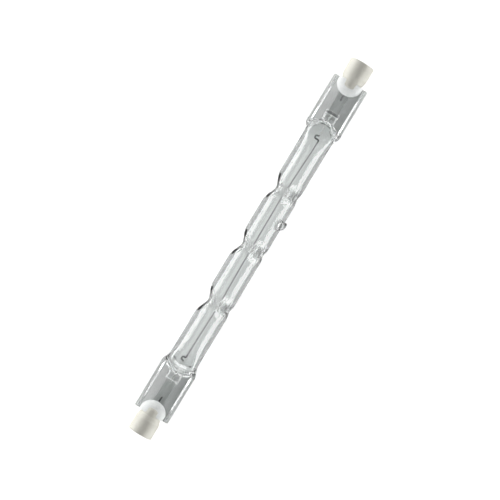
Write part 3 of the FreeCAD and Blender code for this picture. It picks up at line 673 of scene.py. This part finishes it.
def quartz_material():
    """Clear quartz: grained seals, crumpled waists, a dull melted tip, painted shade and painted dark
    lines.
    """
    n = Nodes("quartz", 0.0, clear=1.0)
    n.set("IOR", QUARTZ_IOR)
    x, y, z = n.axis("X"), n.axis("Y"), n.axis("Z")
    along = n.math("ABSOLUTE", x)
    away = n.turned_away()
    web = seal_web(n, along, y)
    from_waist = n.math("PINGPONG", x, WAISTS[-1] / 2)
    squeezed = n.times(n.ramp(from_waist, *WAIST_FADE), n.ramp(along, *WAISTS_FADE))
    from_tip = n.squares(n.math("SUBTRACT", x, TIP_AT), n.math("SUBTRACT", y, MELTED_SIDE))
    melted = n.ramp(from_tip, *MELTED_FADE)
    tint = quartz_tint_and_shade(n, web, squeezed, x, y)
    n.set("Base Color", painted_quartz_lines(n, tint, away, melted, squeezed, along, n.distance(y, z)))
    pressed_dull = n.times(web, n.ramp(n.noise(3.0), 0.3, 0.7, 0.05, 0.14))
    n.set("Roughness", n.math("MAXIMUM", pressed_dull, n.times(melted, 0.22)))
    draw_lines = n.times(n.noise(2.2, 2.0, (0.02, 1.0, 1.0)), DRAW_LINES)
    grain = n.times(n.noise(4.0, 2.0), web)
    crumpled = n.times(squeezed, n.ramp(away, 0.5, 0.3, 0.25, 1.0))
    wrinkles = n.times(n.noise(2.3, 2.0), n.math("MAXIMUM", crumpled, n.times(melted, 0.25)))
    n.bump(n.plus(n.plus(draw_lines, grain), n.times(wrinkles, WRINKLES)), QUARTZ_BUMP)
    return n.mat


def ceramic_material():
    """Pressed steatite: warm white, faintly speckled and stained, with a dry pressed skin."""
    n = Nodes("ceramic", 0.5)
    speck = n.ramp(n.noise(6.0, 4.0), 0.35, 0.65)
    colour = n.blend(speck, (0.64, 0.63, 0.56), (0.71, 0.70, 0.63))
    stain = n.ramp(n.noise(0.5, 2.0), 0.55, 0.75, 0.0, 0.5)
    n.set("Base Color", n.blend(stain, colour, (0.59, 0.575, 0.50)))
    n.set("Roughness", n.ramp(n.noise(3.0), 0.3, 0.7, 0.42, 0.62))
    n.bump(n.noise(8.0, 3.0), 0.02)
    return n.mat


def cement_material():
    """Pale, dry cement with coarse grains."""
    n = Nodes("cement", 0.85)
    grain = n.ramp(n.noise(3.5, 4.0), 0.3, 0.7)
    n.set("Base Color", n.blend(grain, (0.88, 0.91, 0.90), (0.98, 1.0, 0.99)))
    n.set("Roughness", n.ramp(grain, 0.0, 1.0, 0.95, 0.75))
    n.bump(n.noise(3.5, 4.0), 0.12)
    return n.mat


def foil_material():
    """Etched molybdenum foil with fine rolling lines, darker where the far inner lead is welded on."""
    n = Nodes("foil", 0.55, metal=0.5)
    rolled = (0.15, 1.0, 1.0)
    lines = n.ramp(n.noise(1.5, 3.0, rolled), 0.3, 0.7)
    metal = n.blend(lines, (0.68, 0.70, 0.69), (0.80, 0.82, 0.81))
    weld = n.times(n.band(n.axis("X"), *WELD_BAR), 0.75)
    n.set("Base Color", n.blend(weld, metal, (0.22, 0.23, 0.23)))
    n.set("Roughness", n.ramp(lines, 0.0, 1.0, 0.63, 0.47))
    n.bump(n.noise(3.0, 2.0, rolled), 0.02)
    return n.mat


def inner_lead_material():
    """Bright molybdenum wire, darkened by the coil's heat towards the hook."""
    n = Nodes("inner_lead", 0.45, metal=0.6)
    heat = n.ramp(n.math("ABSOLUTE", n.axis("X")), *HEAT_FADE)
    heat = n.times(heat, n.ramp(n.noise(2.0), 0.25, 0.5, 0.8, 1.0))
    n.set("Base Color", n.blend(heat, (0.66, 0.67, 0.66), (0.05, 0.05, 0.05)))
    n.set("Roughness", n.ramp(n.noise(4.0, 3.0, (0.2, 1.0, 1.0)), 0.3, 0.7, 0.38, 0.55))
    return n.mat


def metal_material(name, dark, light, rough, per_mm, stretch=(1.0, 1.0, 1.0)):
    """Bare metal whose colour and gloss vary along its drawing lines."""
    n = Nodes(name, rough, metal=1.0)
    pattern = n.ramp(n.noise(per_mm, 3.0, stretch), 0.3, 0.7)
    n.set("Base Color", n.blend(pattern, dark, light))
    n.set("Roughness", n.ramp(pattern, 0.0, 1.0, rough + 0.08, rough - 0.08))
    n.bump(n.noise(per_mm * 2, 2.0, stretch), 0.01)
    return n.mat


# The pieces
quartz_body = make_quartz()
quartz_body.data.materials.append(quartz_material())
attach(quartz_body, "root")
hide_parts("quartz_envelope")

coil = make_coil()
coil.data.materials.append(
    metal_material("tungsten", (0.26, 0.26, 0.265), (0.40, 0.40, 0.405), rough=0.45, per_mm=5.0))
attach(coil, "root")
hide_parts("filament")

FINISHES = {
    "ceramic_cap": ceramic_material(),
    "base_cement": cement_material(),
    "contact_button": metal_material(
        "contact_metal", (0.58, 0.57, 0.54), (0.74, 0.73, 0.70), rough=0.32, per_mm=3.0),
    "outer_lead": metal_material(
        "outer_lead", (0.10, 0.10, 0.10), (0.55, 0.55, 0.55), rough=0.5, per_mm=2.5,
        stretch=(0.3, 1.0, 1.0)),
    "sealing_foil": foil_material(),
    "inner_lead": inner_lead_material(),
}
for stem, mat in FINISHES.items():
    for side in ("left", "right"):
        materials = nodes[f"{stem}_{side}"].data.materials
        materials.clear()
        materials.append(mat)

# Ground: grey paper that only the lamp sees, and white paper that only the camera sees
LOWEST = cad_box[0][2]
PAPER_SIZE, PAPER_ROUGH = 3.0, 0.9


def ground(name, z, grey, glow):
    s = PAPER_SIZE / 2
    mesh = bpy.data.meshes.new(name)
    mesh.from_pydata([(-s, -s, z), (s, -s, z), (s, s, z), (-s, s, z)], [], [(0, 1, 2, 3)])
    obj = add_object(name, mesh)
    paper = Nodes(name, PAPER_ROUGH)
    paper.set("Base Color", (grey, grey, grey, 1))
    paper.set("Emission Color", (1, 1, 1, 1))
    paper.set("Emission Strength", glow)
    mesh.materials.append(paper.mat)
    return obj


floor = ground("floor", LOWEST - 0.5 * MM, grey=0.6, glow=0.2)
floor.visible_camera = False
backdrop = ground("backdrop", LOWEST, grey=0.85, glow=0.68)
for flag in ("visible_diffuse", "visible_glossy", "visible_transmission", "visible_shadow"):
    setattr(backdrop, flag, False)

# Light
scene.view_settings.view_transform = "Standard"
BOX_DISTANCE = 0.45


def soft_box(name, toward, strength, low, high, length):
    """A panel that lights the lamp from one side, between two elevations in degrees."""
    low, high = math.radians(low), math.radians(high)
    middle = (low + high) / 2
    panel = bpy.data.lights.new(name, "AREA")
    panel.shape = "RECTANGLE"
    panel.size = length
    panel.size_y = 2 * BOX_DISTANCE * math.tan((high - low) / 2)
    panel.energy = strength * panel.size * panel.size_y * math.pi
    obj = add_object(name, panel)
    level = Vector((*toward, 0))
    z_axis = level * math.cos(middle) + Vector((0, 0, math.sin(middle)))
    x_axis = level.cross(Vector((0, 0, 1)))
    obj.location = z_axis * BOX_DISTANCE
    obj.rotation_euler = Matrix((x_axis, z_axis.cross(x_axis), z_axis)).transposed().to_euler()
    return obj


soft_box("left_box", (0, 1), strength=9.6, low=0, high=16, length=0.9)
soft_box("right_box", (0, -1), strength=7.4, low=0, high=17, length=0.8)
for name, toward in (("far_box", (1, 0)), ("near_box", (-1, 0))):
    end_box = soft_box(name, toward, strength=8.0, low=6, high=26, length=0.8)
    end_box.visible_diffuse = False
soft_box("upper_box", (0, 1), strength=1.6, low=61, high=85, length=0.24)

# Surroundings: grey round the horizon and dark overhead, as (upward part of the direction, grey)
SKY = [(0.30, 0.4), (0.62, 0.08)]
SEEN_BY_CAMERA = 0.9

world = bpy.data.worlds.new("surroundings")
scene.world = world
world.use_nodes = True
tree = world.node_tree
direction = tree.nodes.new("ShaderNodeTexCoord")
split = tree.nodes.new("ShaderNodeSeparateXYZ")
height = tree.nodes.new("ShaderNodeValToRGB")
for stop, (upward, grey) in zip(height.color_ramp.elements, SKY):
    stop.position = upward
    stop.color = (grey, grey, grey, 1)
path = tree.nodes.new("ShaderNodeLightPath")
seen = tree.nodes.new("ShaderNodeMix")
seen.data_type = "RGBA"
seen.inputs["B"].default_value = (SEEN_BY_CAMERA, SEEN_BY_CAMERA, SEEN_BY_CAMERA, 1)
tree.links.new(direction.outputs["Generated"], split.inputs[0])
tree.links.new(split.outputs["Z"], height.inputs[0])
tree.links.new(path.outputs["Is Camera Ray"], seen.inputs["Factor"])
tree.links.new(height.outputs["Color"], seen.inputs["A"])
tree.links.new(seen.outputs["Result"], tree.nodes["Background"].inputs["Color"])

# Camera: straight above, turned so that the lamp lies as in the photograph
PIXELS_PER_MM = 3.673
PICTURE = 500
LAMP_CENTRE = (251.14, 248.50)
LEAN = math.radians(31.12)
LENS, SENSOR = 135.0, 36.0
DISTANCE = PICTURE / PIXELS_PER_MM * MM * LENS / SENSOR

camera_data = bpy.data.cameras.new("camera")
camera_data.lens, camera_data.sensor_width = LENS, SENSOR
camera_data.clip_start = 0.01
camera = add_object("camera", camera_data)
scene.camera = camera
along, up, across = Vector((1, 0, 0)), Vector((0, 0, 1)), Vector((0, 1, 0))
picture_up = along * math.cos(LEAN) + across * math.sin(LEAN)
picture_right = picture_up.cross(up)
off_right = (PICTURE / 2 - LAMP_CENTRE[0]) / PIXELS_PER_MM * MM
off_up = (LAMP_CENTRE[1] - PICTURE / 2) / PIXELS_PER_MM * MM
spot = picture_right * off_right + picture_up * off_up + up * DISTANCE
turn = Matrix((picture_right, picture_up, up)).transposed().to_4x4()
camera.matrix_world = Matrix.Translation(spot) @ turn
